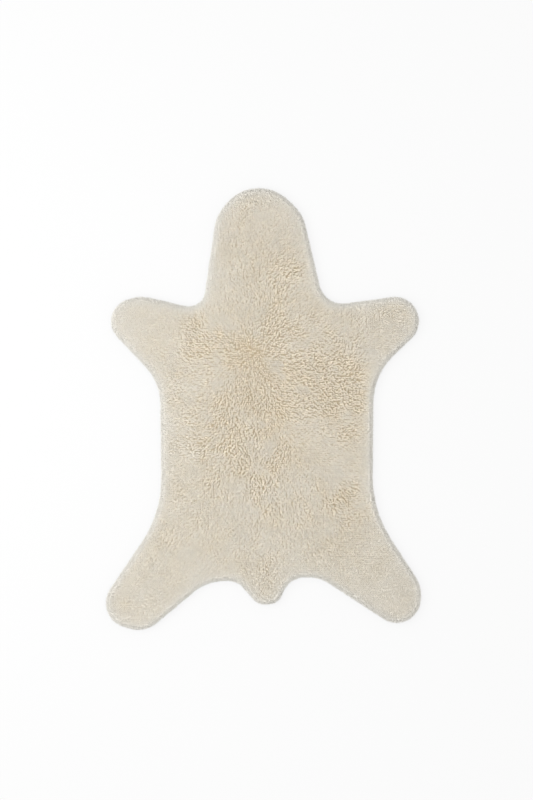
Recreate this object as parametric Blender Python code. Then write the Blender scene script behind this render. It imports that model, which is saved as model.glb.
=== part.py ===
"""Bear shaped kids rug: one tufted wool rug that lies flat, its head towards +Y.

Metres, +Z up. The rug is one closed solid. It reaches as far as the wool pile does: a flat
underside on the ground, an edge where the pile rolls outwards over the backing and back in
again, and a flat top where the tips of the strands end.
"""

from collections import namedtuple
from math import acos, atan2, ceil, cos, hypot, pi, radians, sin

import bmesh
import bpy

# The whole rug. The outline table below is drawn to this length and width.
LENGTH = 1.400
WIDTH = 1.000
THICKNESS = 0.025

# The outline, going round counter-clockwise as seen from above. Each row is the circle that
# one corner of the hide follows, and straight runs touch one circle and the next.
OUTER = 1    # the circle lies inside the rug, which bulges out around it
INNER = -1   # the circle lies outside the rug, which is hollowed out around it
Corner = namedtuple("Corner", "name x y radius side")
CORNERS = (
    Corner("crown_right",    0.002,  0.548, 0.136, OUTER),
    Corner("crown_top",     -0.015,  0.566, 0.134, OUTER),
    Corner("crown_left",    -0.018,  0.553, 0.140, OUTER),
    Corner("left_neck",     -0.237,  0.377, 0.051, INNER),
    Corner("left_shoulder", -0.385,  0.226, 0.130, OUTER),
    Corner("left_paw",      -0.411,  0.277, 0.073, OUTER),
    Corner("left_armpit",   -0.498,  0.015, 0.170, INNER),
    Corner("left_flank",    -0.675, -0.222, 0.350, INNER),
    Corner("left_heel",     -0.419, -0.613, 0.081, OUTER),
    Corner("left_sole",     -0.397, -0.605, 0.095, OUTER),
    Corner("left_thigh",    -0.128, -0.686, 0.140, INNER),
    Corner("left_rump",     -0.113, -0.609, 0.064, INNER),
    Corner("tail_left",      0.005, -0.568, 0.052, OUTER),
    Corner("tail_right",     0.015, -0.571, 0.048, OUTER),
    Corner("right_rump",     0.130, -0.604, 0.070, INNER),
    Corner("right_thigh",    0.140, -0.659, 0.125, INNER),
    Corner("right_sole",     0.421, -0.600, 0.078, OUTER),
    Corner("right_heel",     0.390, -0.590, 0.110, OUTER),
    Corner("right_flank",    0.707, -0.215, 0.360, INNER),
    Corner("right_armpit",   0.549,  0.021, 0.200, INNER),
    Corner("right_paw",      0.415,  0.278, 0.078, OUTER),
    Corner("right_neck",     0.250,  0.408, 0.073, INNER),
)

# The edge, from the ground up: how far in from the pile's widest reach, and how high.
EdgeStep = namedtuple("EdgeStep", "name inset height")
EDGE = (
    EdgeStep("backing_underside", 0.008, 0.0),
    EdgeStep("backing_rim",       0.004, 0.004),
    EdgeStep("widest_reach",      0.000, 0.010),
    EdgeStep("pile_side",         0.001, 0.015),
    EdgeStep("pile_shoulder",     0.005, 0.020),
    EdgeStep("pile_roll",         0.011, 0.0235),
    EdgeStep("pile_top",          0.020, THICKNESS),
)

# How finely the round corners are faceted, and the angle up to which facets shade as round.
TURN_PER_FACET = radians(7.5)
SMOOTH_BELOW = radians(40.0)

WOOL_COLOUR = (0.66, 0.60, 0.49, 1.0)
WOOL_ROUGHNESS = 0.95


def clear_scene():
    for thing in list(bpy.data.objects):
        bpy.data.objects.remove(thing, do_unlink=True)


def wool_material():
    material = bpy.data.materials.new("cream_wool_pile")
    material.use_nodes = True
    shader = material.node_tree.nodes["Principled BSDF"]
    shader.inputs["Base Color"].default_value = WOOL_COLOUR
    shader.inputs["Roughness"].default_value = WOOL_ROUGHNESS
    shader.inputs["Metallic"].default_value = 0.0
    material.diffuse_color = WOOL_COLOUR
    return material


def leaving_angle(corner, following):
    """The angle of the outward normal along the straight run from one corner to the next."""
    across_x = following.x - corner.x
    across_y = following.y - corner.y
    change = following.side * following.radius - corner.side * corner.radius
    return atan2(across_y, across_x) - acos(-change / hypot(across_x, across_y))


def turn_between(arriving, leaving, side):
    """How far the outward normal turns around a corner: left at an outer, right at an inner."""
    return side * ((side * (leaving - arriving)) % (2.0 * pi))


def outline():
    """Points around the rug's widest reach, each with its outward normal: (x, y, nx, ny)."""
    leaving = [leaving_angle(corner, following)
               for corner, following in zip(CORNERS, CORNERS[1:] + CORNERS[:1])]
    arriving = leaving[-1:] + leaving[:-1]
    points = []
    for corner, start, end in zip(CORNERS, arriving, leaving):
        turn = turn_between(start, end, corner.side)
        facets = ceil(abs(turn) / TURN_PER_FACET)
        for step in range(facets + 1):
            angle = start + turn * step / facets
            nx = cos(angle)
            ny = sin(angle)
            reach = corner.side * corner.radius
            points.append((corner.x + reach * nx, corner.y + reach * ny, nx, ny))
    return points


def centred(points):
    """The outline, moved and stretched by a hair so that it measures LENGTH by WIDTH exactly."""
    xs = [x for x, _, _, _ in points]
    ys = [y for _, y, _, _ in points]
    middle_x = (max(xs) + min(xs)) / 2.0
    middle_y = (max(ys) + min(ys)) / 2.0
    stretch_x = WIDTH / (max(xs) - min(xs))
    stretch_y = LENGTH / (max(ys) - min(ys))
    return [((x - middle_x) * stretch_x, (y - middle_y) * stretch_y, nx, ny)
            for x, y, nx, ny in points]


def add_ring(mesh, points, inset, height):
    """A closed loop of edges, parallel to the outline and inside it by the inset."""
    corners = [mesh.verts.new((x - inset * nx, y - inset * ny, height))
               for x, y, nx, ny in points]
    return [mesh.edges.new((start, end))
            for start, end in zip(corners, corners[1:] + corners[:1])]


def close_ring(mesh, ring):
    """One flat face across a ring."""
    bmesh.ops.contextual_create(mesh, geom=ring)


def make_rug():
    points = centred(outline())
    shape = bmesh.new()
    rings = [add_ring(shape, points, step.inset, step.height) for step in EDGE]
    for lower, upper in zip(rings, rings[1:]):
        bmesh.ops.bridge_loops(shape, edges=lower + upper)
    close_ring(shape, rings[0])
    close_ring(shape, rings[-1])
    bmesh.ops.recalc_face_normals(shape, faces=shape.faces)
    mesh = bpy.data.meshes.new("rug")
    shape.to_mesh(mesh)
    shape.free()
    mesh.shade_smooth()
    mesh.set_sharp_from_angle(angle=SMOOTH_BELOW)
    mesh.materials.append(wool_material())
    rug = bpy.data.objects.new("rug", mesh)
    bpy.context.scene.collection.objects.link(rug)
    return rug


clear_scene()
make_rug()
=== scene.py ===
# %% [markdown]
# # A bear shaped kids rug
#
# The real rug is an animal hide outline, 1.4 m long, tufted in wool and combed by hand. Seen from straight
# above it is nearly one colour, so the look comes from the locks of its 20 mm pile: which way they lie, how
# far they lean, and where they part and show the shaded wool below, which looks warmer. Here that warmth is
# painted shade.
#
# The lesson builds that pile as real geometry. The imported CAD model comes first, as a frame that is never
# changed: it gives the outline, the thickness and the place of everything below.

# %% Load the imported CAD model as the frame
import math
from collections import namedtuple

import bmesh
import bpy
import numpy as np
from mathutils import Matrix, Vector
from mathutils.geometry import delaunay_2d_cdt


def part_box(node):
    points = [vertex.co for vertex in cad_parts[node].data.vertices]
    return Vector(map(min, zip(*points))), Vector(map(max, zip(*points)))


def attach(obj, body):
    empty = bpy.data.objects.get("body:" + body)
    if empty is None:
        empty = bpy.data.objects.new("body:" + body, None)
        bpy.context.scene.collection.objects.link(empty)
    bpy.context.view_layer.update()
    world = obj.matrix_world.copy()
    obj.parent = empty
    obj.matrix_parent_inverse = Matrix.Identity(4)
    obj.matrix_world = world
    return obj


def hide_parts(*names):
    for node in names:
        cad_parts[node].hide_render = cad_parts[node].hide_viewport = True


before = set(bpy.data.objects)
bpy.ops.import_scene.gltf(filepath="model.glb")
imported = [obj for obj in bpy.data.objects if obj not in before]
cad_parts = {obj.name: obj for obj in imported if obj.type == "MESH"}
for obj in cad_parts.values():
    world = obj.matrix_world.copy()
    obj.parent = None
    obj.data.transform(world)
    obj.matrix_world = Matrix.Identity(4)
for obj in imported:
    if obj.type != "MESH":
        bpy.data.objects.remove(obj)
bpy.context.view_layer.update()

rug_low, rug_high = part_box("rug")
MM = 0.001
print("CAD box in mm:", [round(size / MM) for size in rug_high - rug_low])

# %% [markdown]
# ## Where the photograph was taken from
#
# The photograph looks straight down, and the rug fills 442 of its 800 pixels from crown to heels. A long
# lens far above the floor gives the same flat view. The camera is moved until the rug's centre falls on the
# pixel where the photograph has it, so no lens shift is needed.

# %% Camera above the floor
PHOTO_WIDTH_PX = 533
PHOTO_HEIGHT_PX = 800
RUG_LENGTH_PX = 442
RUG_CENTRE_PX = (263.5, 409.0)
LENS_MM = 85
SENSOR_MM = 36

metres_per_px = (rug_high.y - rug_low.y) / RUG_LENGTH_PX
view_height = PHOTO_HEIGHT_PX * metres_per_px
camera_above = view_height * LENS_MM / SENSOR_MM


def placed(name, data):
    """An object with this data, linked into the scene."""
    made = bpy.data.objects.new(name, data)
    bpy.context.scene.collection.objects.link(made)
    return made


camera_data = bpy.data.cameras.new("camera")
camera_data.lens = LENS_MM
camera_data.sensor_width = SENSOR_MM
camera = placed("camera", camera_data)
camera.location = (
    (PHOTO_WIDTH_PX / 2 - RUG_CENTRE_PX[0]) * metres_per_px,
    (RUG_CENTRE_PX[1] - PHOTO_HEIGHT_PX / 2) * metres_per_px,
    rug_low.z + camera_above,
)
bpy.context.scene.camera = camera
print(f"camera {camera.location.z:.2f} m up, {metres_per_px / MM:.2f} mm to a pixel")

# %% [markdown]
# ## The outline, read from the CAD
#
# The CAD solid is a stack of closed rings, so each ring can be walked from vertex to vertex at its own
# height. The widest one is the outline. One helper then answers what the pile asks of every lock: how far
# inside the outline is this point, and which way is out?

# %% Rings of the CAD solid
SAME_PLACE = 0.01 * MM
SAME_HEIGHT = 0.05 * MM
LEVEL_NORMAL = 0.999


def ring_at(height):
    """The CAD rug's ring of points at one height, in order."""
    solid = bmesh.new()
    solid.from_mesh(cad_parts["rug"].data)
    bmesh.ops.remove_doubles(solid, verts=solid.verts, dist=SAME_PLACE)
    ring = {vert for vert in solid.verts if abs(vert.co.z - height) < SAME_HEIGHT}
    sloped = {face for face in solid.faces if abs(face.normal.z) < LEVEL_NORMAL}
    walked = []
    step = min(ring, key=lambda vert: (vert.co.x, vert.co.y))
    while step:
        walked.append(step)
        beside = [edge.other_vert(step) for edge in step.link_edges if not sloped.isdisjoint(edge.link_faces)]
        ahead = [vert for vert in beside if vert in ring and vert not in walked]
        step = min(ahead, key=lambda vert: vert.co.y) if ahead else None
    points = np.array([vert.co.xy for vert in walked])
    solid.free()
    return points


cad_heights = sorted({round(vert.co.z, 4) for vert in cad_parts["rug"].data.vertices})
rings = {height: ring_at(height) for height in cad_heights}
widest = max(rings, key=lambda height: np.ptp(rings[height][:, 0]))
outline = rings[widest]
print("CAD rings at mm:", [round(height / MM, 1) for height in rings], "widest at", widest / MM)
print("points on the outline:", len(outline))

# %% Inside and outside of the outline
POINTS_AT_ONCE = 4000
SMALLEST_DISTANCE = 1e-9
SMALLEST_RISE = 1e-12


def outline_area(ring):
    """The area inside a closed ring, negative if it runs clockwise."""
    following = np.roll(ring, -1, axis=0)
    return 0.5 * np.sum(ring[:, 0] * following[:, 1] - ring[:, 1] * following[:, 0])


def inset_and_outward(x, y):
    """How far inside the outline each point is, negative outside, and the unit vector to the nearest edge."""
    run_x, run_y = (np.roll(outline, -1, axis=0) - outline).T
    inset = np.empty(len(x))
    outward = np.empty((len(x), 2))
    for part in np.array_split(np.arange(len(x)), max(1, len(x) // POINTS_AT_ONCE)):
        to_x = x[part, None] - outline[:, 0]
        to_y = y[part, None] - outline[:, 1]
        along = ((to_x * run_x + to_y * run_y) / (run_x**2 + run_y**2)).clip(0, 1)
        off_x = along * run_x - to_x
        off_y = along * run_y - to_y
        distance = np.hypot(off_x, off_y)
        nearest = (np.arange(len(part)), distance.argmin(axis=1))
        away = np.stack([off_x[nearest], off_y[nearest]], axis=1)
        near = distance[nearest].clip(SMALLEST_DISTANCE)
        above = outline[:, 1] > y[part, None]
        crosses = above != np.roll(above, -1, axis=1)
        is_left = to_x < run_x / np.where(run_y == 0, SMALLEST_RISE, run_y) * to_y
        side = np.where((crosses & is_left).sum(axis=1) % 2 == 1, 1, -1)
        inset[part] = near * side
        outward[part] = away / near[:, None] * side[:, None]
    return inset, outward


# %% [markdown]
# ## Soft random hills
#
# Nothing in wool is even, but neighbours are alike. A seeded grid of random numbers, blended softly between
# its points, gives hills of any width, and the same hills on every run.

# %% Noise helpers
NOISE_CELLS = 256
HILL_SCALE = 0.75
SECOND_GRID_WIDTH = 1.17
WIDE_SHARE = 0.6


def smooth(share):
    """A share from 0 to 1 that leaves both ends gently."""
    return share**2 * (3 - 2 * share)


def blended_grid(x, y, width, draw):
    """Random numbers on a turned square grid, blended softly between its points."""
    grid = draw.uniform(-1, 1, (NOISE_CELLS, NOISE_CELLS))
    turn = draw.uniform(0, math.pi / 2)
    column = (math.cos(turn) * x + math.sin(turn) * y) / width + NOISE_CELLS / 2
    row = (math.cos(turn) * y - math.sin(turn) * x) / width + NOISE_CELLS / 2
    left = np.floor(column).astype(int)
    low = np.floor(row).astype(int)
    across = smooth(column - left)
    up = smooth(row - low)
    lines = []
    for level in (low % NOISE_CELLS, (low + 1) % NOISE_CELLS):
        right = (left + 1) % NOISE_CELLS
        lines.append(grid[level, left % NOISE_CELLS] * (1 - across) + grid[level, right] * across)
    return lines[0] * (1 - up) + lines[1] * up


def hills(x, y, width, seed):
    """Soft random values about -1 to 1 at each point. Two grids turned apart hide each other's rows."""
    draw = np.random.default_rng(seed)
    wider = SECOND_GRID_WIDTH * width
    return HILL_SCALE * (blended_grid(x, y, width, draw) + blended_grid(x, y, wider, draw))


def two_hills(x, y, wide, narrow, seed):
    """Hills of two widths together, the wide ones stronger."""
    return WIDE_SHARE * hills(x, y, wide, seed) + (1 - WIDE_SHARE) * hills(x, y, narrow, seed + 1)


print("a few hills:", np.round(hills(np.linspace(0, 0.1, 5), np.zeros(5), 30 * MM, seed=1), 2))

# %% [markdown]
# ## How the pile was combed
#
# Wool lies the way that a hand last stroked it: here outwards from the chest, up the head, out along the
# arms and down the legs. A texture could say that, but a short list of comb marks says it better. Each mark
# is a place and a heading, and a lock in between follows a blend of the marks around it. Where marks point
# away from each other the blend nearly cancels, so the wool stands up there, as on the real rug.

# %% Comb marks
# Places are listed in centimetres from the rug's centre, and headings in degrees, 0 to the right and 90 up
# to the head.
CombMark = namedtuple("CombMark", "place x y heading")
COMB_MARKS = [CombMark(name, x / 100, y / 100, heading) for name, x, y, heading in (
    ("crown", 0, 65, 84),
    ("crown right", 7, 61, 70),
    ("head left", -12, 50, 87),
    ("head middle", -4, 47, 86),
    ("head right upper", 9, 53, 52),
    ("head right", 11, 47, 35),
    ("head right lower", 15, 43, 24),
    ("neck left", -15, 35, 115),
    ("neck middle", -3, 34, 90),
    ("neck right", 13, 34, 48),
    ("left shoulder", -25, 29, 100),
    ("left arm top", -33, 29, 108),
    ("left paw", -43, 28, 122),
    ("left arm", -36, 20, 150),
    ("right arm top", 30, 29, 84),
    ("right arm", 38, 22, 14),
    ("right paw", 45, 30, 22),
    ("chest left", -18, 19, 168),
    ("chest middle", -6, 25, 92),
    ("chest below", -5, 10, 262),
    ("chest right", 15, 19, 12),
    ("chest right near", 4, 18, 5),
    ("chest right above", 5, 26, 50),
    ("chest left near", -12, 18, 175),
    ("belly right", 11, 8, 352),
    ("right flank", 23, -2, 350),
    ("belly middle", -6, 3, 270),
    ("belly low", -6, -13, 268),
    ("left flank upper", -25, 4, 178),
    ("left flank", -23, -10, 184),
    ("left flank lower", -22, -21, 215),
    ("left side", -31, -29, 200),
    ("rump left", -12, -26, 268),
    ("rump middle", 0, -29, 266),
    ("rump right", 12, -29, 274),
    ("tail", 1, -57, 268),
    ("right haunch", 20, -35, 290),
    ("right side", 32, -26, 347),
    ("right thigh", 34, -46, 310),
    ("right foot", 40, -59, 300),
    ("left haunch", -26, -38, 242),
    ("left thigh", -34, -51, 256),
    ("left foot outside", -47, -57, 204),
    ("left foot", -39, -61, 258),
)]
COMB_REACH = 60 * MM
FAR_WEIGHT = 1e-6


def nearness(x, y, place, reach):
    """1 at a place, falling softly to 0 around it."""
    distance = np.hypot(x - place.x, y - place.y)
    return np.exp(-0.5 * (distance / reach) ** 2)


def combed(x, y):
    """The blend of the comb marks at each point: a vector that is short where the marks disagree."""
    blend = np.zeros((len(x), 2))
    total = np.zeros(len(x))
    for mark in COMB_MARKS:
        weight = nearness(x, y, mark, COMB_REACH) + FAR_WEIGHT
        heading = math.radians(mark.heading)
        blend += weight[:, None] * (math.cos(heading), math.sin(heading))
        total += weight
    return blend / total[:, None]


print("comb marks:", len(COMB_MARKS))

# %% [markdown]
# ## Where the pile is rough and where it parts
#
# Two more short lists, easier to change than a texture, say what happened since the combing. Rough places are
# where play has ruffled the wool, most on the chest and the belly, and a strength below zero marks wool that
# stayed smooth. Partings are short lines where the locks lean away to both sides and show the wool below,
# which lies deeper in shade and is painted warmer as shade.

# %% Rough places, listed in centimetres
PLAIN_ROUGHNESS = 0.33
CALM_MARGIN = 60 * MM
PATCHINESS = 0.7
RoughPlace = namedtuple("RoughPlace", "place x y reach strength")
ROUGH_PLACES = [RoughPlace(name, x / 100, y / 100, reach / 100, strength) for name, x, y, reach, strength in (
    ("chest", -3, 17, 7, 0.68),
    ("chest high", 3, 26, 7, 0.32),
    ("belly right", 12, 7, 8, 0.70),
    ("right flank", 26, 0, 7, 0.70),
    ("right chest", 18, 16, 7, 0.28),
    ("belly middle", -4, -2, 8, 0.50),
    ("right shoulder", 22, 26, 6, 0.35),
    ("left chest", -18, 22, 6, 0.45),
    ("left flank", -20, -5, 9, 0.28),
    ("head middle", -2, 47, 7, 0.28),
    ("head right", 11, 46, 6, 0.36),
    ("belly low", -4, -15, 8, 0.45),
    ("rump", 2, -28, 11, 0.25),
    ("right haunch", 27, -30, 6, 0.50),
    ("tail", 1, -52, 7, 0.12),
    ("left haunch", -24, -35, 8, 0.18),
    ("left paw", -42, 27, 6, -0.25),
    ("left heel", -42, -60, 5, -0.15),
    ("right heel", 39, -57, 7, -0.25),
)]


def fade_in(inset, start, width):
    """0 up to the start, and 1 from one width further in."""
    return ((inset - start) / width).clip(0, 1)


def roughness_of(x, y):
    """How ruffled the pile is at each point, from 0, freshly combed, to 1."""
    inset, _ = inset_and_outward(x, y)
    rough = PLAIN_ROUGHNESS * fade_in(inset, 0, CALM_MARGIN)
    for place in ROUGH_PLACES:
        rough += place.strength * nearness(x, y, place, place.reach)
    patches = two_hills(x, y, 45 * MM, 18 * MM, seed=41)
    return (rough * (1 + PATCHINESS * patches)).clip(0, 1)


print("rough places:", len(ROUGH_PLACES))

# %% Partings, with their places listed in centimetres and their sizes in millimetres
PARTING_SHARPNESS = 2
Parting = namedtuple("Parting", "place x y angle length width depth")
PARTINGS = [Parting(name, x / 100, y / 100, angle, *(size / 1000 for size in sizes), depth) for (
    name, x, y, angle, *sizes, depth
) in (
    ("head right", 8, 47, 60, 30, 12, 0.6),
    ("head middle", -3, 42, 88, 50, 10, 0.7),
    ("head long", -3, 55, 92, 80, 8, 0.3),
    ("neck right", 17, 32, 20, 30, 12, 0.7),
    ("left shoulder", -21, 27, 140, 30, 14, 0.8),
    ("chest", -6, 17, 80, 50, 14, 0.4),
    ("chest right", 18, 14, 150, 30, 10, 0.6),
    ("left armpit", -27, 11, 30, 30, 12, 0.8),
    ("belly right", 12, 5, 100, 35, 14, 0.8),
    ("belly middle", -4, 3, 95, 35, 12, 0.8),
    ("left flank", -19, -16, 20, 35, 12, 0.9),
    ("left side", -19, -11, 170, 25, 10, 0.6),
    ("right flank", 27, -29, 110, 35, 12, 1.0),
    ("right haunch", 24, -42, 86, 110, 8, 0.4),
    ("tail", 1, -55, 80, 30, 12, 0.6),
    ("left thigh", -33, -43, 10, 14, 6, 1.0),
    ("left ankle", -32, -52, 170, 22, 7, 1.0),
    ("left foot", -43, -61, 5, 26, 8, 1.0),
)]


def parted(x, y):
    """How open the pile is at each point, from 0 to 1, and which way partings push it."""
    openness = np.zeros(len(x))
    push = np.zeros((len(x), 2))
    for parting in PARTINGS:
        angle = math.radians(parting.angle)
        line = np.array([math.cos(angle), math.sin(angle)])
        across_line = np.array([-line[1], line[0]])
        offset = np.stack([x - parting.x, y - parting.y], axis=1)
        along = offset @ line / (parting.length / 2)
        across = offset @ across_line / parting.width
        near = parting.depth * np.exp(-0.5 * (along**2 + across**2))
        openness = np.maximum(openness, near)
        push += (near * np.tanh(PARTING_SHARPNESS * across))[:, None] * across_line
    return openness, push


print("partings:", len(PARTINGS))

# %% [markdown]
# ## The height of the dense wool below
#
# A hand that parts real pile finds dense, warm wool below. Modelling every hair down to the backing would
# spend most of them where nobody looks, so the lower part is one closed body, the core. It ends just below
# the tips where the wool is smooth, and deeper where the yarns stand apart, so that the gaps are darker.

# %% Height of the core
CORE_INSETS = np.array([4.5, 5.2, 8.0, 12.0, 18.0, 24.0]) * MM
CORE_HEIGHTS = np.array([6.0, 11.0, 15.0, 17.8, 20.0, 21.0]) * MM
CORE_EDGE = (20 * MM, 15 * MM)
CORE_SINKS = 6.4 * MM
PARTING_SINKS = 3.0 * MM
CORE_HILL_HEIGHT = 0.4 * MM
CORE_HILL_WIDTH = 20 * MM


def core_height(x, y, inset):
    """How high the dense wool reaches at each point."""
    rolled = np.interp(inset, CORE_INSETS, CORE_HEIGHTS)
    openness, _ = parted(x, y)
    sunk = CORE_SINKS * roughness_of(x, y) + PARTING_SINKS * openness
    uneven = CORE_HILL_HEIGHT * hills(x, y, CORE_HILL_WIDTH, seed=3)
    return rolled - fade_in(inset, *CORE_EDGE) * sunk + uneven


print("core heights in mm:", CORE_HEIGHTS / MM)

# %% [markdown]
# ## Planting the locks
#
# A tufted rug is made by a tool that walks lengthwise rows across the backing and shoots a lock of yarn at
# each step. Here they are planted the same way, with a little hand wobble. At the edge they stand in rings
# that follow the outline, one above the other, which rolls the pile over the edge.

# %% Lock rows and edge rings
ROW_PITCH = 5.7 * MM
STITCH_PITCH = 6.2 * MM
ROW_WOBBLE = 0.4 * MM
ROUGH_WOBBLE = 0.4 * MM
EDGE_BAND = 19 * MM

# Each ring in millimetres: how far inside the outline its roots and tips are, how high they are, and how much
# that varies. Last is how round its locks are. Only the low rings vary much: higher up, that would speckle
# the edge as seen from above.
EdgeRing = namedtuple("EdgeRing", "name root tip root_height tip_height scatter lift")
EDGE_RINGS = [EdgeRing(name, *(size * MM for size in sizes), lift) for name, *sizes, lift in (
    ("skirt", 6.5, 1.0, 3.0, 2.8, 0.3, 0.5),
    ("low side", 6.5, 0.4, 6.5, 7.5, 1.1, 0.7),
    ("side", 7.5, 0.4, 11.5, 12.3, 1.0, 0.6),
    ("shoulder", 10.5, 2.2, 14.5, 16.8, 0.5, 0.2),
    ("roll", 14.5, 5.2, 17.0, 20.2, 0.3, 0.1),
    ("brow", 19.0, 9.8, 17.5, 22.3, 0.3, 0.1),
)]
EDGE_PITCH = 5.6 * MM

random_rows = np.random.default_rng(71)
columns = np.arange(rug_low.x, rug_high.x, ROW_PITCH)
steps = np.arange(rug_low.y, rug_high.y, STITCH_PITCH)
row_x, row_y = (axis.ravel() for axis in np.meshgrid(columns, steps, indexing="ij"))
row_wobble = ROW_WOBBLE + ROUGH_WOBBLE * roughness_of(row_x, row_y)
row_x, row_y = (axis + random_rows.normal(0, 1, len(axis)) * row_wobble for axis in (row_x, row_y))
row_inset, _ = inset_and_outward(row_x, row_y)
row_x, row_y = (axis[row_inset > EDGE_BAND] for axis in (row_x, row_y))
print("locks in rows:", len(row_x))


def along_ring(ring, pitch):
    """Evenly spaced points along a closed ring."""
    closed = np.vstack([ring, ring[:1]])
    travelled = np.concatenate([[0], np.cumsum(np.hypot(*np.diff(closed, axis=0).T))])
    count = round(travelled[-1] / pitch)
    stops = np.arange(count) * travelled[-1] / count
    return np.stack([np.interp(stops, travelled, closed[:, axis]) for axis in (0, 1)], axis=1)


def outward_of(points):
    """The unit vector out of a closed ring at each of its points."""
    run = (np.roll(points, -1, axis=0) - np.roll(points, 1, axis=0)) * np.sign(outline_area(outline))
    out = np.stack([run[:, 1], -run[:, 0]], axis=1)
    return out / np.hypot(*out.T)[:, None]


edge_points = along_ring(outline, EDGE_PITCH)
edge_outward = outward_of(edge_points)
print("locks in each edge ring:", len(edge_points), "rings:", len(EDGE_RINGS))

# %% [markdown]
# ## Warmth and paleness
#
# Wool is yellower in soft patches of its own. Where the pile is rough, where its yarns stand apart and in
# partings, it is also painted yellower and darker, as painted warm shade of the opened pile. It is paler and
# greyer at the edge. Warmth and paleness are soft changes over the rug, so each is a value at any point,
# which the locks and the core carry.

# %% Colour values over the rug
# The plain warmth and the patches are the wool's own colour. The rough, standing and parted shares are
# painted warm shade, where the opened pile is in shade.
WARM_PLAIN = 0.2
WARM_SHADE_ROUGH = 0.25
WARM_PATCHES = 0.3
WARM_SHADE_STANDING = 0.15
WARM_SHADE_PARTED = 0.15
WARM_EDGE = (12 * MM, 25 * MM)
PALE_REACH = 13 * MM


def warmth(x, y, inset, rough, openness, agreement):
    """How yellow the wool is at each point, from 0 to 1: its own patches, and painted warm shade where the
    pile is rough, stands or parts.
    """
    patches = two_hills(x, y, 50 * MM, 20 * MM, seed=31)
    warm = WARM_PLAIN + WARM_SHADE_ROUGH * rough + WARM_PATCHES * patches + WARM_SHADE_STANDING * (1 - agreement)
    return (warm * fade_in(inset, *WARM_EDGE) + WARM_SHADE_PARTED * openness).clip(0, 1)


def paleness(x, y):
    """How pale and grey the wool is: 1 at the very edge, and less inwards."""
    inset, _ = inset_and_outward(x, y)
    return np.exp(-inset.clip(0, None) / PALE_REACH)


print("paleness at the crown's edge:", paleness(np.zeros(1), np.full(1, rug_high.y)))

# %% [markdown]
# ## The lie of each lock
#
# A real lock starts upright in the backing and bends over in its heading. How far it leans decides the look:
# one that lies nearly flat shows its whole pale side, and one that stands shows only its tip and the dark
# beside it. So the lean falls where the comb marks disagree, where the pile is rough and where it parts.

# %% Heading, reach and height of the locks in rows
# Each pair holds the value for smooth pile and the value for fully ruffled pile.
STRAY = (0.2, 0.5)
TURN = (0.05, 0.55)
REACH_SCATTER = (0.04, 0.08)
TOP_SCATTER = (0.05 * MM, 0.55 * MM)
TOP_HILLS = (0.24 * MM, 0.84 * MM)
TIP_DROP = (0.6 * MM, 2.5 * MM)
LIFT = (0.1, 1.0)

# From a lock that stands to one that lies flat, and from marks that disagree to marks that agree.
REACH = (5 * MM, 12 * MM)
LEAN = (0.1, 1.0)
FULL_AGREEMENT = 0.7
LEAN_LOST_ROUGH = 0.5
LEAN_LOST_PARTED = 0.6
LEAN_HILLS = 0.10

PILE_TOP = rug_high.z - 1.2 * MM
EDGE_PULL_REACH = 9 * MM
PARTING_PUSH = 0.6
EDGE_SLOPE = (17 * MM, 12 * MM)
EDGE_SLOPE_DROP = 1.2 * MM
PARTING_DROP = 2.0 * MM
ROOT_DEPTH = 2.0 * MM

Locks = namedtuple("Locks", "x y heading_x heading_y reach root top tip_drop lift rough warm")


def between(pair, amount):
    """The value this far, from 0 to 1, through a pair."""
    first, second = pair
    return first + (second - first) * amount


def stray(x, y):
    """Which way locks stray from the combing: whorls of two sizes, as vectors."""
    whorls = [hills(x, y, 22 * MM, seed) + hills(x, y, 60 * MM, seed + 2) for seed in (51, 52)]
    return 0.5 * np.stack(whorls, axis=1)


def lie_of_pile(x, y, inset, outward, rough):
    """Which way the pile lies, as vectors that are short where it stands, and how open it is."""
    openness, push = parted(x, y)
    edge_pull = np.exp(-(((inset - EDGE_BAND) / EDGE_PULL_REACH) ** 2))[:, None]
    lie = combed(x, y) * (1 - edge_pull) + outward * edge_pull + PARTING_PUSH * push
    return lie + stray(x, y) * between(STRAY, rough)[:, None], openness


def combed_locks(x, y):
    """The locks in rows."""
    count = len(x)
    draw = np.random.default_rng(12)
    inset, outward = inset_and_outward(x, y)
    rough = roughness_of(x, y)
    lie, openness = lie_of_pile(x, y, inset, outward, rough)
    agreement = (np.hypot(*lie.T) / FULL_AGREEMENT).clip(0, 1)
    heading = np.arctan2(lie[:, 1], lie[:, 0])
    heading += draw.normal(0, 1, count) * between(TURN, rough)
    lean = between(LEAN, agreement) * (1 - LEAN_LOST_ROUGH * rough) * (1 - LEAN_LOST_PARTED * openness)
    lean += LEAN_HILLS * hills(x, y, 35 * MM, seed=7)
    reach = between(REACH, lean.clip(0, 1))
    reach *= draw.normal(1, between(REACH_SCATTER, rough), count)
    edge_slope = 1 - fade_in(inset, *EDGE_SLOPE)
    top = PILE_TOP - EDGE_SLOPE_DROP * edge_slope**2 - PARTING_DROP * openness
    top += hills(x, y, 30 * MM, seed=8) * between(TOP_HILLS, rough)
    top += draw.normal(0, 1, count) * between(TOP_SCATTER, rough)
    tip_drop = between(TIP_DROP, rough) * draw.uniform(0.5, 1.5, count)
    warm = warmth(x, y, inset, rough, openness, agreement)
    root = core_height(x, y, inset) - ROOT_DEPTH
    lift = between(LIFT, rough)
    return Locks(x, y, np.cos(heading), np.sin(heading), reach, root, top, tip_drop, lift, rough, warm)


row_locks = combed_locks(row_x, row_y)
print(f"locks in rows reach {row_locks.reach.min() / MM:.0f} to {row_locks.reach.max() / MM:.0f} mm")

# %% The locks of the edge rings
EDGE_ROOT_SCATTER = 0.5 * MM
EDGE_TURN = 0.16
EDGE_LUMP_WIDTH = 17 * MM
EDGE_REACH_LUMPS = 0.3 * MM
EDGE_TOP_LUMPS = 0.7 * MM
EDGE_ROOT_SHARE = 0.7
EDGE_TIP_DROP = 1.0 * MM


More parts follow.
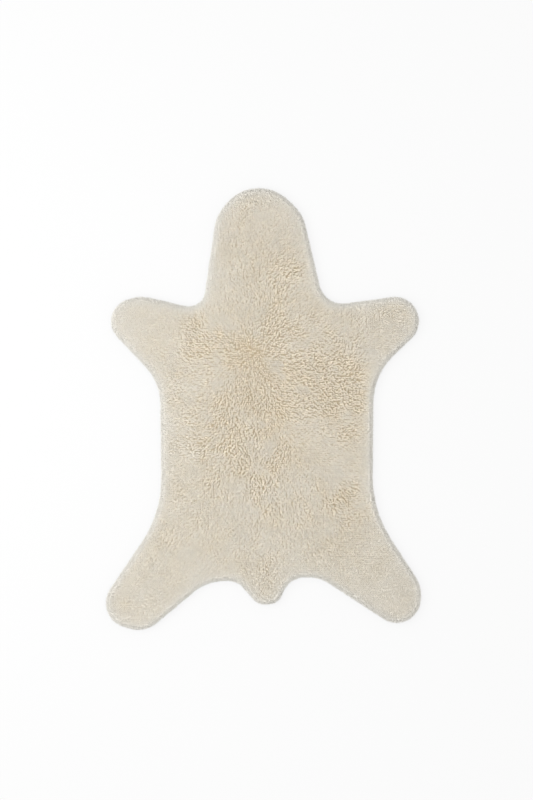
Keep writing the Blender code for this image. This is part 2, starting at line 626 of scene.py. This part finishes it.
def edge_locks(ring, seed):
    """One ring of locks that roll over the edge."""
    count = len(edge_points)
    draw = np.random.default_rng(seed)
    shift = draw.uniform(-0.5, 0.5, (count, 1)) * EDGE_PITCH
    tangent = np.stack([-edge_outward[:, 1], edge_outward[:, 0]], axis=1)
    inset = ring.root + draw.normal(0, EDGE_ROOT_SCATTER, (count, 1))
    x, y = (edge_points - edge_outward * inset + tangent * shift).T
    heading = np.arctan2(edge_outward[:, 1], edge_outward[:, 0]) + draw.normal(0, EDGE_TURN, count)
    lump = hills(x, y, EDGE_LUMP_WIDTH, seed=9)
    reach = (ring.root - ring.tip) * draw.uniform(0.95, 1.0, count) + EDGE_REACH_LUMPS * lump
    scatter = draw.normal(0, 1, count) * ring.scatter
    root = ring.root_height + EDGE_ROOT_SHARE * scatter
    top = ring.tip_height + EDGE_TOP_LUMPS * lump + scatter
    drop, lift, rough, warm = np.repeat([[EDGE_TIP_DROP], [ring.lift], [0], [0]], count, axis=1)
    return Locks(x, y, np.cos(heading), np.sin(heading), reach, root, top, drop, lift, rough, warm)


lock_groups = [row_locks]
lock_groups += [edge_locks(ring, seed=20 + number) for number, ring in enumerate(EDGE_RINGS)]
locks = Locks(*(np.concatenate(values) for values in zip(*lock_groups)))
print("locks in all:", len(locks.x))

# %% [markdown]
# ## Plies of wool
#
# A lock is three plies of wool, twisted together and opening a little towards the tip. A curve with a width
# could be a ply, but the export needs faces, so each is a closed tube with three sides, pointed at both ends.
# All tubes of a strip of rug share one mesh, filled from arrays, because over 700,000 faces made one at a
# time would take minutes.

# %% Ply paths
# A path rises like a sine through BEND_DEGREES, so past 90 its tip comes down. Pairs are as above.
PLIES = 3
PLY_STOPS = np.array([0.0, 0.42, 0.80, 1.0])
BEND_DEGREES = (92, 115)
FORWARD_CURVE = 1.6
REACH_OF_PLIES = 0.08
RISE_OF_PLIES = 0.05
SWAY = 0.5 * MM
SWAY_BENDS = 1.2
PLY_SPREAD = np.array([1.0, 1.2, 1.3, 1.3]) * MM
SPREAD = (2.4, 1.05)
TWIST_DEGREES = 120


def each_ply(part):
    """The values of these locks, repeated for each of their plies."""
    return Locks(*(np.repeat(values, PLIES) for values in part))


def bent_lines(part, draw):
    """Every ply's line before its twist and the level way across it, both as (plies, stops, 3)."""
    each = each_ply(part)
    count = len(each.x)
    reach = each.reach * draw.normal(1, REACH_OF_PLIES, count)
    arch = np.sin(np.radians(between(BEND_DEGREES, each.rough))[:, None] * PLY_STOPS)
    rise = (each.top - each.root) * draw.normal(1, RISE_OF_PLIES, count)
    forward = reach[:, None] * PLY_STOPS**FORWARD_CURVE
    sway = np.repeat(draw.normal(0, 1, len(part.x)), PLIES)[:, None] * SWAY
    sideways = sway * np.sin(np.pi * SWAY_BENDS * PLY_STOPS)
    heading = np.stack([each.heading_x, each.heading_y, np.zeros(count)], axis=1)
    side = np.stack([-each.heading_y, each.heading_x, np.zeros(count)], axis=1)[:, None, :]
    line = forward[:, :, None] * heading[:, None, :] + sideways[:, :, None] * side
    line[:, :, 0] += each.x[:, None]
    line[:, :, 1] += each.y[:, None]
    line[:, :, 2] = each.root[:, None] + rise[:, None] * arch
    line[:, -1, 2] -= each.tip_drop
    return line, np.broadcast_to(side, line.shape)


def ply_paths(part, draw):
    """Every ply's twisted line and the two ways across it, each as (plies, stops, 3)."""
    each = each_ply(part)
    line, side = bent_lines(part, draw)
    tangent = np.gradient(line, axis=1)
    tangent /= np.linalg.norm(tangent, axis=2)[:, :, None]
    across = np.cross(tangent, side)
    across /= np.linalg.norm(across, axis=2)[:, :, None]
    number = np.tile(np.arange(PLIES), len(part.x))
    turn = np.repeat(draw.uniform(0, 2 * np.pi, len(part.x)), PLIES) + number * 2 * np.pi / PLIES
    turn = turn[:, None] + np.radians(TWIST_DEGREES) * PLY_STOPS
    spread = PLY_SPREAD * between(SPREAD, each.rough)[:, None]
    line += (spread * np.cos(turn))[:, :, None] * side
    line += (spread * each.lift[:, None] * np.sin(turn))[:, :, None] * across
    return line, side, across


print("plies:", PLIES * len(locks.x))

# %% Ply tubes
PLY_SIDES = 3
PLY_RADIUS = np.array([1.5, 0.8]) * MM
PLY_RINGS = len(PLY_RADIUS)
ROOT = 0
TIP = 1 + PLY_SIDES * PLY_RINGS


def ply_tubes(line, side, across, thickness):
    """Every tube's vertices: its root, a ring of three at each middle stop, then its tip."""
    angle = 2 * np.pi * np.arange(PLY_SIDES) / PLY_SIDES
    radius = PLY_RADIUS[None, :, None] * thickness[:, None, None]
    ring_side = (radius * np.cos(angle))[..., None] * side[:, 1:-1, None, :]
    ring_across = (radius * np.sin(angle))[..., None] * across[:, 1:-1, None, :]
    rings_of_three = line[:, 1:-1, None, :] + ring_side + ring_across
    bodies = rings_of_three.reshape(len(line), -1, 3)
    return np.concatenate([line[:, :1, :], bodies, line[:, -1:, :]], axis=1)


print("vertices in a ply:", TIP + 1)

# %% [markdown]
# ## Faces and two maps for a ply
#
# All plies have the same faces, so one small pattern of corners is repeated for each. One UV map, ply_map,
# runs around and along each ply, for the fibre streaks. In a second map each ply has a small cell to itself,
# so that the finished colours can be baked for other programs.

# %% The face pattern of one ply
def ring_corner(ring, side):
    """A corner on a ring: its vertex, and its place around and along the tube from 0 to 1."""
    return 1 + ring * PLY_SIDES + side % PLY_SIDES, side / PLY_SIDES, PLY_STOPS[ring + 1]


def ply_pattern():
    """The faces of one ply, each as a list of corners."""
    faces = []
    for side in range(PLY_SIDES):
        first = [ring_corner(ring, side) for ring in range(PLY_RINGS)]
        second = [ring_corner(ring, side + 1) for ring in range(PLY_RINGS)]
        middle = (side + 0.5) / PLY_SIDES
        faces.append([(ROOT, middle, 0.0), second[0], first[0]])
        for ring in range(PLY_RINGS - 1):
            faces.append([first[ring], second[ring], second[ring + 1], first[ring + 1]])
        faces.append([first[-1], second[-1], (TIP, middle, 1.0)])
    return faces


PLY_FACES = ply_pattern()
face_sizes = np.array([len(face) for face in PLY_FACES])
corner_vertex, corner_around, corner_along = np.array([corner for face in PLY_FACES for corner in face]).T
corner_vertex = corner_vertex.astype(int)
triangles_a_ply = int((face_sizes - 2).sum())
print("triangles in a ply:", triangles_a_ply)

# %% One mesh from many tubes
def mesh_of_tubes(name, verts):
    """A mesh with every ply's tube, from an array of (plies, vertices, 3)."""
    count, verts_each, _ = verts.shape
    corners = (np.arange(count)[:, None] * verts_each + corner_vertex).ravel()
    sizes = np.tile(face_sizes, count)
    starts = np.concatenate([[0], np.cumsum(sizes)[:-1]])
    mesh = bpy.data.meshes.new(name)
    mesh.vertices.add(verts_each * count)
    mesh.vertices.foreach_set("co", verts.astype(np.float32).ravel())
    mesh.loops.add(len(corners))
    mesh.loops.foreach_set("vertex_index", corners.astype(np.int32))
    mesh.polygons.add(len(sizes))
    mesh.polygons.foreach_set("loop_start", starts.astype(np.int32))
    mesh.update(calc_edges=True)
    mesh.shade_smooth()
    return mesh


print("corners in a ply:", len(corner_vertex))

# %% Values and maps of the plies
CELL_MARGIN = 0.12
CELL_SHAPE = 1.9
MAP_SHIFT = 9
# DEPTH says how far each ply is painted towards the root colour, for smooth and for ruffled pile. That is
# painted shade between the hairs, with some real grease and dust. DEPTH_CURVE shapes how it fades along the
# ply.
DEPTH = (0.25, 1.0)
DEPTH_CURVE = 0.7
LOCK_TONE = 0.5
TONE = (0.4, 1.6)
# Painted light: how much lighter ruffled wool is made, to offset the shade it casts on itself.
ROUGH_PAINTED_LIGHT = 5.0
SHOWN_SHARE = 0.6


def bake_cells(count):
    """The corner and size of a narrow cell for each ply, in a grid that fills the map."""
    columns_needed = math.ceil(math.sqrt(count * CELL_SHAPE))
    rows_needed = math.ceil(count / columns_needed)
    index = np.arange(count)
    left = index % columns_needed / columns_needed
    low = index // columns_needed / rows_needed
    return left, low, 1 / columns_needed, 1 / rows_needed


def add_values(mesh, name, values):
    """One named number at each vertex, for the material to read."""
    attribute = mesh.attributes.new(name, "FLOAT", "POINT")
    attribute.data.foreach_set("value", values.astype(np.float32).ravel())


def add_map(mesh, name, u, v):
    """One UV map from arrays of u and v at each corner."""
    layer = mesh.uv_layers.new(name=name)
    layer.data.foreach_set("uv", np.stack([u, v], axis=-1).astype(np.float32).ravel())


def add_ply_values(mesh, part, draw):
    """What the wool material reads: each ply's painted root shade, tone with painted light, warmth with
    painted shade, and paleness.
    """
    each = each_ply(part)
    lock_tone = np.repeat(draw.normal(0, 1, len(part.x)), PLIES)
    own_tone = LOCK_TONE * lock_tone + draw.normal(0, 1, len(each.x))
    # Ruffled wool shades itself, so its colour is painted lighter there: painted light that offsets that
    # shade.
    tone = own_tone * between(TONE, each.rough) + ROUGH_PAINTED_LIGHT * each.rough
    along = np.concatenate([PLY_STOPS[:1], np.repeat(PLY_STOPS[1:-1], PLY_SIDES), PLY_STOPS[-1:]])
    shown_x = part.x + SHOWN_SHARE * part.reach * part.heading_x
    shown_y = part.y + SHOWN_SHARE * part.reach * part.heading_y
    pale = np.repeat(paleness(shown_x, shown_y), PLIES)
    # Painted shade with some real grease and dust: each ply is darker and yellower towards its root, most
    # where the pile is ruffled.
    add_values(mesh, "ply_root_shade_and_grease", (1 - along**DEPTH_CURVE)[None, :] * between(DEPTH, each.rough)[:, None])
    for value_name, values in (("ply_tone_and_light", tone), ("pile_warm_and_shade", each.warm), ("pile_pale", pale)):
        add_values(mesh, value_name, np.repeat(values, len(along)))


def add_ply_maps(mesh, count, draw):
    """The map for the fibre streaks, and the map with a cell for each ply."""
    shift = draw.uniform(0, MAP_SHIFT, (count, 1))
    left, low, wide, tall = bake_cells(count)
    inner_u = CELL_MARGIN + (1 - 2 * CELL_MARGIN) * corner_around
    inner_v = CELL_MARGIN + (1 - 2 * CELL_MARGIN) * corner_along
    add_map(mesh, "ply_map", np.tile(corner_around, count), (shift + corner_along).ravel())
    add_map(mesh, "OFBake", (left[:, None] + wide * inner_u).ravel(), (low[:, None] + tall * inner_v).ravel())


print("columns of cells for 1000 plies:", round(1 / bake_cells(1000)[2]))

# %% [markdown]
# ## Six lengthwise strips
#
# The real pile is all one. Here it is cut into strips with as many locks in each, so that each mesh is small
# enough to open and bake by itself. The cuts don't show, because every lock stays whole.

# %% Cut the pile into strips
STRIPS = 6
THICKNESS_SCATTER = 0.10
THICKNESS_LIMITS = (0.7, 1.3)
THICKNESS = (1.1, 1.0)
LOWEST_PLY = 0.4 * MM


def strip_of_plies(name, part, seed):
    """A mesh object with every ply of these locks."""
    draw = np.random.default_rng(seed)
    line, side, across = ply_paths(part, draw)
    count = len(line)
    thickness = draw.normal(1, THICKNESS_SCATTER, count).clip(*THICKNESS_LIMITS)
    thickness *= between(THICKNESS, np.repeat(part.rough, PLIES))
    verts = ply_tubes(line, side, across, thickness)
    verts[:, :, 2] = verts[:, :, 2].clip(LOWEST_PLY, None)
    mesh = mesh_of_tubes(name, verts)
    add_ply_values(mesh, part, draw)
    add_ply_maps(mesh, count, draw)
    return placed(name, mesh)


strip_edges = np.quantile(locks.x, np.linspace(0, 1, STRIPS + 1))
strip_number = np.searchsorted(strip_edges, locks.x, side="right").clip(1, STRIPS)
pile_strips = []
for number in range(1, STRIPS + 1):
    part = Locks(*(values[strip_number == number] for values in locks))
    pile_strips.append(strip_of_plies(f"pile_strip_{number}", part, seed=100 + number))
    print(f"strip {number}:", triangles_a_ply * PLIES * len(part.x), "triangles")

# %% [markdown]
# ## The backing
#
# Under the pile is a thin mat of tufting cloth, glue and cotton, cut to the outline. A sheet with no
# thickness would vanish from the side, so it is a flat closed slab on the lowest CAD ring.

# %% Backing mat
MAT_TOP = 3.5 * MM


def join_rings(solid, lower, upper):
    """A band of faces between two rings of vertices."""
    for here in range(len(lower)):
        beside = (here + 1) % len(lower)
        solid.faces.new((lower[here], lower[beside], upper[beside], upper[here]))


def fill_ring(solid, ring):
    """Triangles that close a ring of vertices."""
    edges = [solid.edges.get((ring[here], ring[(here + 1) % len(ring)])) for here in range(len(ring))]
    bmesh.ops.triangle_fill(solid, edges=edges, use_beauty=True, normal=(0, 0, 1))


def piece_of(name, solid):
    """An object with these faces, all turned outwards."""
    bmesh.ops.recalc_face_normals(solid, faces=solid.faces)
    mesh = bpy.data.meshes.new(name)
    solid.to_mesh(mesh)
    solid.free()
    return placed(name, mesh)


def closed_slab(name, ring, low, high):
    """A flat slab inside a closed ring."""
    slab = bmesh.new()
    bottom = [slab.verts.new((x, y, low)) for x, y in ring]
    top = [slab.verts.new((x, y, high)) for x, y in ring]
    join_rings(slab, bottom, top)
    fill_ring(slab, bottom)
    fill_ring(slab, top)
    return piece_of(name, slab)


lowest = cad_heights[0]
backing = closed_slab("backing", rings[lowest], lowest, MAT_TOP)
print("backing faces:", len(backing.data.polygons))

# %% [markdown]
# ## The body of dense wool
#
# Low in real pile no lock can be told from the next. More locks would show it, for several times the
# triangles, but only glimpses are seen between the plies, so one closed skin is enough. Its flat base is sunk
# in the backing, its side rolls up inside the edge, and its top follows the core height.

# %% Rings of the pile core
# The inset and height of the base's ring and of the two above it.
CORE_WALLS = ((9.5 * MM, 2.5 * MM), (6.5 * MM, 3.0 * MM), (5.0 * MM, 4.2 * MM))
CORE_TOP_INSETS = CORE_INSETS[:5]
CORE_PITCH = 13 * MM
core_points = along_ring(outline, CORE_PITCH)
core_outward = outward_of(core_points)


def inset_ring(inset):
    """The outline moved inwards, as evenly spaced points."""
    return core_points - core_outward * inset


core = bmesh.new()
levels = [[core.verts.new((x, y, height)) for x, y in inset_ring(inset)] for inset, height in CORE_WALLS]
for inset in CORE_TOP_INSETS:
    ring = inset_ring(inset)
    heights = core_height(ring[:, 0], ring[:, 1], np.full(len(ring), inset))
    levels.append([core.verts.new((x, y, z)) for (x, y), z in zip(ring, heights)])
for lower, upper in zip(levels, levels[1:]):
    join_rings(core, lower, upper)
fill_ring(core, levels[0])
print("core rings:", len(levels), "with", len(levels[0]), "points each")

# %% Top of the pile core
CORE_GAP = 0.6
ONLY_INSIDE = 1
SAME_POINT = 1e-7


def cover_core(last_ring):
    """A net of triangles over the top of the core, joined to its last ring."""
    count = len(last_ring)
    x_steps = np.arange(rug_low.x, rug_high.x, CORE_PITCH)
    y_steps = np.arange(rug_low.y, rug_high.y, CORE_PITCH)
    grid_x, grid_y = (axis.ravel() for axis in np.meshgrid(x_steps, y_steps))
    grid_inset, _ = inset_and_outward(grid_x, grid_y)
    inside = grid_inset > CORE_TOP_INSETS[-1] + CORE_GAP * CORE_PITCH
    grid = np.stack([grid_x[inside], grid_y[inside]], axis=1)
    flat = [Vector(point) for point in np.vstack([inset_ring(CORE_TOP_INSETS[-1]), grid])]
    ring_edges = [(here, (here + 1) % count) for here in range(count)]
    spots, _, triangles, came_from, *_ = delaunay_2d_cdt(flat, ring_edges, [], ONLY_INSIDE, SAME_POINT)
    x, y = np.array([spot[:] for spot in spots]).T
    z = core_height(x, y, inset_and_outward(x, y)[0])
    verts = []
    for index, sources in enumerate(came_from):
        on_ring = [source for source in sources if source < count]
        verts.append(last_ring[on_ring[0]] if on_ring else core.verts.new((x[index], y[index], z[index])))
    for triangle in triangles:
        core.faces.new([verts[index] for index in triangle])


cover_core(levels[-1])
pile_core = piece_of("pile_core", core)
pile_core.data.shade_smooth()
print("core triangles:", sum(len(face.vertices) - 2 for face in pile_core.data.polygons))

# %% What the wool material reads on the core
# The core has no ply_map, so no fibre streaks show on it.
CORE_SHADE_AND_GREASE = (0.25, 1.0)
CORE_RIM = (6 * MM, 16 * MM)
x, y = np.array([vert.co.xy for vert in pile_core.data.vertices]).T
inset, _ = inset_and_outward(x, y)
rough = roughness_of(x, y)
openness, _ = parted(x, y)
agreement = np.hypot(*combed(x, y).T).clip(0, 1)
# Painted shade on the core: it takes more of the root colour where the pile is ruffled, away from the rim.
core_shade_and_grease = between(CORE_SHADE_AND_GREASE, rough * fade_in(inset, *CORE_RIM))
add_values(pile_core.data, "ply_root_shade_and_grease", core_shade_and_grease)
add_values(pile_core.data, "ply_tone_and_light", np.zeros(len(x)))
add_values(pile_core.data, "pile_warm_and_shade", warmth(x, y, inset, rough, openness, agreement))
add_values(pile_core.data, "pile_pale", paleness(x, y))
print(f"core depth {core_shade_and_grease.min():.2f} to {core_shade_and_grease.max():.2f}")

# %% [markdown]
# ## Node helpers
#
# A few helpers make and link nodes, so that a material reads like a list of what happens to its colour.

# %% Helpers for node trees
def new_group(name, inputs, outputs):
    """A shader node group. Inputs and outputs are name: (socket type, default)."""
    group = bpy.data.node_groups.new(name, "ShaderNodeTree")
    for direction, sockets in (("INPUT", inputs), ("OUTPUT", outputs)):
        for socket_name, (kind, default) in sockets.items():
            socket = group.interface.new_socket(socket_name, in_out=direction, socket_type=kind)
            if default is not None:
                socket.default_value = default
    return group, group.nodes.new("NodeGroupInput"), group.nodes.new("NodeGroupOutput")


def node(tree, kind, inputs=None, **settings):
    """A node with its settings, and each input linked to a socket or set to a value."""
    made = tree.nodes.new(kind)
    for name, value in settings.items():
        setattr(made, name, value)
    for name, value in (inputs or {}).items():
        if isinstance(value, bpy.types.NodeSocket):
            tree.links.new(value, made.inputs[name])
        else:
            made.inputs[name].default_value = value
    return made


def maths(tree, operation, *values):
    """A Math node's output."""
    return node(tree, "ShaderNodeMath", dict(enumerate(values)), operation=operation).outputs[0]


def ramped(tree, value, pair):
    """A value from 0 to 1, spread between the two of a pair."""
    return maths(tree, "MULTIPLY_ADD", value, pair[1] - pair[0], pair[0])


def attribute_value(tree, name):
    """The value of a named mesh attribute."""
    return node(tree, "ShaderNodeAttribute", attribute_name=name).outputs["Fac"]


def mixed(tree, factor, one, other, blend="MIX"):
    """A colour mix. The sockets of a Mix node repeat for each data type, so they are picked by number."""
    inputs = {0: factor, 6: one, 7: other}
    return node(tree, "ShaderNodeMix", inputs, data_type="RGBA", blend_type=blend).outputs[2]


def shaded(tree, colour, shade):
    """A colour made lighter or darker by a number."""
    grey = node(tree, "ShaderNodeCombineColor", {"Red": shade, "Green": shade, "Blue": shade}).outputs[0]
    return mixed(tree, 1.0, colour, grey, "MULTIPLY")


def object_place(tree):
    """Each point's place in the object, in metres."""
    return node(tree, "ShaderNodeTexCoord").outputs["Object"]


print("node helpers ready")

# %% Helpers for materials
def placed_group(tree, group, inputs):
    """The output of a node group, placed with these inputs."""
    return node(tree, "ShaderNodeGroup", inputs, node_tree=group).outputs[0]


def new_material(name):
    """A material with an empty node tree."""
    material = bpy.data.materials.new(name)
    material.use_nodes = True
    material.node_tree.nodes.clear()
    return material, material.node_tree


def add_shader(tree, inputs):
    """The Principled shader of a material."""
    shader = node(tree, "ShaderNodeBsdfPrincipled", inputs)
    node(tree, "ShaderNodeOutputMaterial", {"Surface": shader.outputs[0]})


print("material helpers ready")

# %% [markdown]
# ### Uneven dye
#
# Undyed wool and cotton are never one shade. Painting that would need a picture, but two sizes of cloud, made
# from the place of each point, give it without one. Both materials use them, so they are a node group.

# %% Group: uneven dye
FINER_CLOUDS = 4.0
dye_inputs = {"Cloud Size": ("NodeSocketFloat", 0.1), "Strength": ("NodeSocketFloat", 0.1)}
tree, given, result = new_group("uneven_dye", dye_inputs, {"Shade": ("NodeSocketFloat", None)})
uneven_dye = tree
place = object_place(tree)
scale = maths(tree, "DIVIDE", 1.0, given.outputs["Cloud Size"])
fine_scale = maths(tree, "MULTIPLY", scale, FINER_CLOUDS)
wide = node(tree, "ShaderNodeTexNoise", {"Vector": place, "Scale": scale, "Detail": 2.0})
fine = node(tree, "ShaderNodeTexNoise", {"Vector": place, "Scale": fine_scale, "Detail": 1.0})
both = maths(tree, "ADD", wide.outputs["Fac"], fine.outputs["Fac"])
centred_clouds = maths(tree, "SUBTRACT", both, 1.0)
shade = maths(tree, "MULTIPLY_ADD", centred_clouds, given.outputs["Strength"], 1.0)
tree.links.new(shade, result.inputs["Shade"])
print("group:", uneven_dye.name)

# %% [markdown]
# ### Fibre streaks
#
# Close up, a ply or a thread is a bundle of hairs, each thinner than a pixel and far too many to model. A
# noise that is stretched along V of a map gives fine streaks instead, for colour, bump and roughness.

# %% Group: fibre streaks
streak_inputs = {
    "Map": ("NodeSocketVector", None),
    "Streaks Around": ("NodeSocketFloat", 6.0),
    "Streaks Along": ("NodeSocketFloat", 2.0),
}
tree, given, result = new_group("fibre_streaks", streak_inputs, {"Streak": ("NodeSocketFloat", None)})
fibre_streaks = tree
given_counts = {"X": given.outputs["Streaks Around"], "Y": given.outputs["Streaks Along"]}
counts = node(tree, "ShaderNodeCombineXYZ", given_counts).outputs[0]
factors = {0: given.outputs["Map"], 1: counts}
stretched = node(tree, "ShaderNodeVectorMath", factors, operation="MULTIPLY").outputs[0]
look = {"Vector": stretched, "Scale": 1.0, "Detail": 2.0, "Roughness": 0.6}
noise = node(tree, "ShaderNodeTexNoise", look)
tree.links.new(noise.outputs["Fac"], result.inputs["Streak"])
print("group:", fibre_streaks.name)

# %% [markdown]
# ## Wool
#
# Undyed wool is a warm cream, and paler and greyer at the edge. Towards the root it is painted darker and
# yellower: painted shade between the hairs, with some real grease and dust. A picture could hold those
# colours, but values that each ply carries give them at any size: its root shade, warmth and paleness mix
# four colours, and its tone makes them lighter or darker. Its warmth holds painted warm shade where the pile
# opens, and its tone holds painted light that lightens ruffled wool.

# %% Wool material
WOOL_TIP = (0.726, 0.692, 0.623, 1)
# The root colour is painted shade between the hairs, with some real grease and dust.
WOOL_ROOT_SHADE_AND_GREASE = (0.64, 0.55, 0.40, 1)
# The warm tint is the wool's own yellow, and painted warm shade where the pile opens.
WARM_TINT_AND_SHADE = (0.97, 0.93, 0.85, 1)
WOOL_RIM = (0.71, 0.698, 0.658, 1)
WOOL_STREAKS = {"Streaks Around": 7.0, "Streaks Along": 2.5}
WOOL_DYE = {"Cloud Size": 0.12, "Strength": 0.06}
WOOL_SHEEN = {"Specular IOR Level": 0.15, "Sheen Weight": 0.25, "Sheen Roughness": 0.5}
WOOL_BUMP = {"Strength": 0.4, "Distance": 0.5 * MM}
WOOL_ROUGHNESS = (0.80, 0.95)
STREAK_SHADE = (-0.05, 0.05)
# The ply tone is random, and in ruffled wool it also holds painted light.
TONE_AND_LIGHT_STRENGTH = 0.05

wool, tree = new_material("cream_wool")
ply_map = node(tree, "ShaderNodeUVMap", uv_map="ply_map").outputs["UV"]
streak = placed_group(tree, fibre_streaks, {"Map": ply_map, **WOOL_STREAKS})
dye = placed_group(tree, uneven_dye, WOOL_DYE)
colour = mixed(tree, attribute_value(tree, "ply_root_shade_and_grease"), WOOL_TIP, WOOL_ROOT_SHADE_AND_GREASE)
colour = mixed(tree, attribute_value(tree, "pile_warm_and_shade"), colour, WARM_TINT_AND_SHADE, "MULTIPLY")
colour = mixed(tree, attribute_value(tree, "pile_pale"), colour, WOOL_RIM)
toned = maths(tree, "MULTIPLY_ADD", attribute_value(tree, "ply_tone_and_light"), TONE_AND_LIGHT_STRENGTH, dye)
shade = maths(tree, "ADD", toned, ramped(tree, streak, STREAK_SHADE))
look = {
    "Base Color": shaded(tree, colour, shade),
    "Roughness": ramped(tree, streak, WOOL_ROUGHNESS),
    "Normal": node(tree, "ShaderNodeBump", {"Height": streak, **WOOL_BUMP}).outputs[0],
}
add_shader(tree, {**look, **WOOL_SHEEN})
for piece in (pile_core, *pile_strips):
    piece.data.materials.append(wool)
print("material:", wool.name)

# %% [markdown]
# ## Cotton cloth on the underside
#
# The photograph doesn't show the underside, so it is an undyed cotton canvas in plain weave, one thread over
# and one under. The weave is worked out from the place of each point, so the threads are equally wide all
# over and need no map. The cloth is painted darker between them as painted shade, and the bump makes each
# thread round.

# %% Cotton material
COTTON = (0.60, 0.54, 0.42, 1)
THREAD_PITCH = 2.4 * MM
THREAD_DIPS = (0.6, 1.0)
COTTON_DYE = {"Cloud Size": 0.06, "Strength": 0.2}
COTTON_SLUBS = {"Streaks Around": 1 / THREAD_PITCH, "Streaks Along": 12.0}
COTTON_BUMP = {"Strength": 0.6, "Distance": 0.5 * MM}
COTTON_SHINE = {"Specular IOR Level": 0.2}
SLUB_SHADE = (-0.08, 0.08)
# Painted shade: the cloth is darker between the threads.
WEAVE_SHADE = (0.80, 1.10)
COTTON_ROUGHNESS = (0.95, 0.85)


def plain_weave(tree):
    """The height of a plain weave at each point, 0 between the threads and 1 on top of one."""
    threads = {0: object_place(tree), 1: (1 / THREAD_PITCH, 1 / THREAD_PITCH, 0)}
    in_threads = node(tree, "ShaderNodeVectorMath", threads, operation="MULTIPLY").outputs[0]
    split = node(tree, "ShaderNodeSeparateXYZ", {0: in_threads})
    rounds = []
    cells = []
    for axis in ("X", "Y"):
        across = maths(tree, "FRACT", split.outputs[axis])
        half_turn = maths(tree, "MULTIPLY", across, math.pi)
        rounds.append(maths(tree, "SINE", half_turn))
        cells.append(maths(tree, "FLOOR", split.outputs[axis]))
    over = maths(tree, "PINGPONG", maths(tree, "ADD", *cells), 1.0)
    heights = []
    for own, crossing in (rounds, rounds[::-1]):
        heights.append(maths(tree, "MULTIPLY", own, ramped(tree, crossing, THREAD_DIPS)))
    lengthwise, crosswise = heights
    difference = maths(tree, "SUBTRACT", crosswise, lengthwise)
    return maths(tree, "MULTIPLY_ADD", difference, over, lengthwise)


cotton, tree = new_material("cotton_cloth")
dye = placed_group(tree, uneven_dye, COTTON_DYE)
slubs = placed_group(tree, fibre_streaks, {"Map": object_place(tree), **COTTON_SLUBS})
weave = plain_weave(tree)
shade = maths(tree, "ADD", ramped(tree, weave, WEAVE_SHADE), ramped(tree, slubs, SLUB_SHADE))
shade = maths(tree, "MULTIPLY", shade, dye)
look = {
    "Base Color": shaded(tree, COTTON, shade),
    "Roughness": ramped(tree, weave, COTTON_ROUGHNESS),
    "Normal": node(tree, "ShaderNodeBump", {"Height": weave, **COTTON_BUMP}).outputs[0],
}
add_shader(tree, {**look, **COTTON_SHINE})
backing.data.materials.append(cotton)
print("material:", cotton.name)

# %% [markdown]
# ## Floor and light
#
# In the photograph the rug lies on pure white with no shadow. A white floor would take the rug's shadow, so
# this one is dark and glows until it is nearly white. An even sky lights the rug, and one large soft light on
# the left makes that side brighter, as in the photograph.

# %% Studio
FLOOR_SIZE = 40.0
FLOOR_COLOUR = (0.12, 0.12, 0.12, 1)
FLOOR_GLOW = 0.785
WHITE = (1, 1, 1, 1)
SKY_STRENGTH = 1.25
LIGHT_SIZE = 2.6
LIGHT_WATTS = 39
LIGHT_PLACE = (-1.7, 0.2, 2.1)

floor_material, tree = new_material("white_floor")
look = {"Base Color": FLOOR_COLOUR, "Roughness": 0.8, "Specular IOR Level": 0.1}
add_shader(tree, {**look, "Emission Color": WHITE, "Emission Strength": FLOOR_GLOW})
half = FLOOR_SIZE / 2
floor_corners = [(-half, -half, 0), (half, -half, 0), (half, half, 0), (-half, half, 0)]
floor_mesh = bpy.data.meshes.new("floor")
floor_mesh.from_pydata(floor_corners, [], [(0, 1, 2, 3)])
floor_mesh.materials.append(floor_material)
floor = placed("floor", floor_mesh)

world = bpy.data.worlds.new("studio_sky")
bpy.context.scene.world = world
world.use_nodes = True
sky = world.node_tree.nodes["Background"]
sky.inputs["Color"].default_value = WHITE
sky.inputs["Strength"].default_value = SKY_STRENGTH

light_data = bpy.data.lights.new("window_light", "AREA")
light_data.shape = "DISK"
light_data.size = LIGHT_SIZE
light_data.energy = LIGHT_WATTS
window_light = placed("window_light", light_data)
window_light.location = LIGHT_PLACE
window_light.rotation_euler = (-window_light.location).to_track_quat("-Z", "Y").to_euler()
window_light.visible_camera = False

bpy.context.scene.view_settings.view_transform = "Standard"
print("floor, sky and one soft light")

# %% [markdown]
# ## Hand over to the frame
#
# In the frame the rug is one body, so every piece rides on it. The backing stands for the CAD solid, which is
# hidden, because it is the cloth that is cut to the outline.

# %% Bodies, and the CAD solid hidden
for piece in (backing, pile_core, *pile_strips):
    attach(piece, "root")
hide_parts("rug")
print("pieces handed over:", 2 + len(pile_strips))
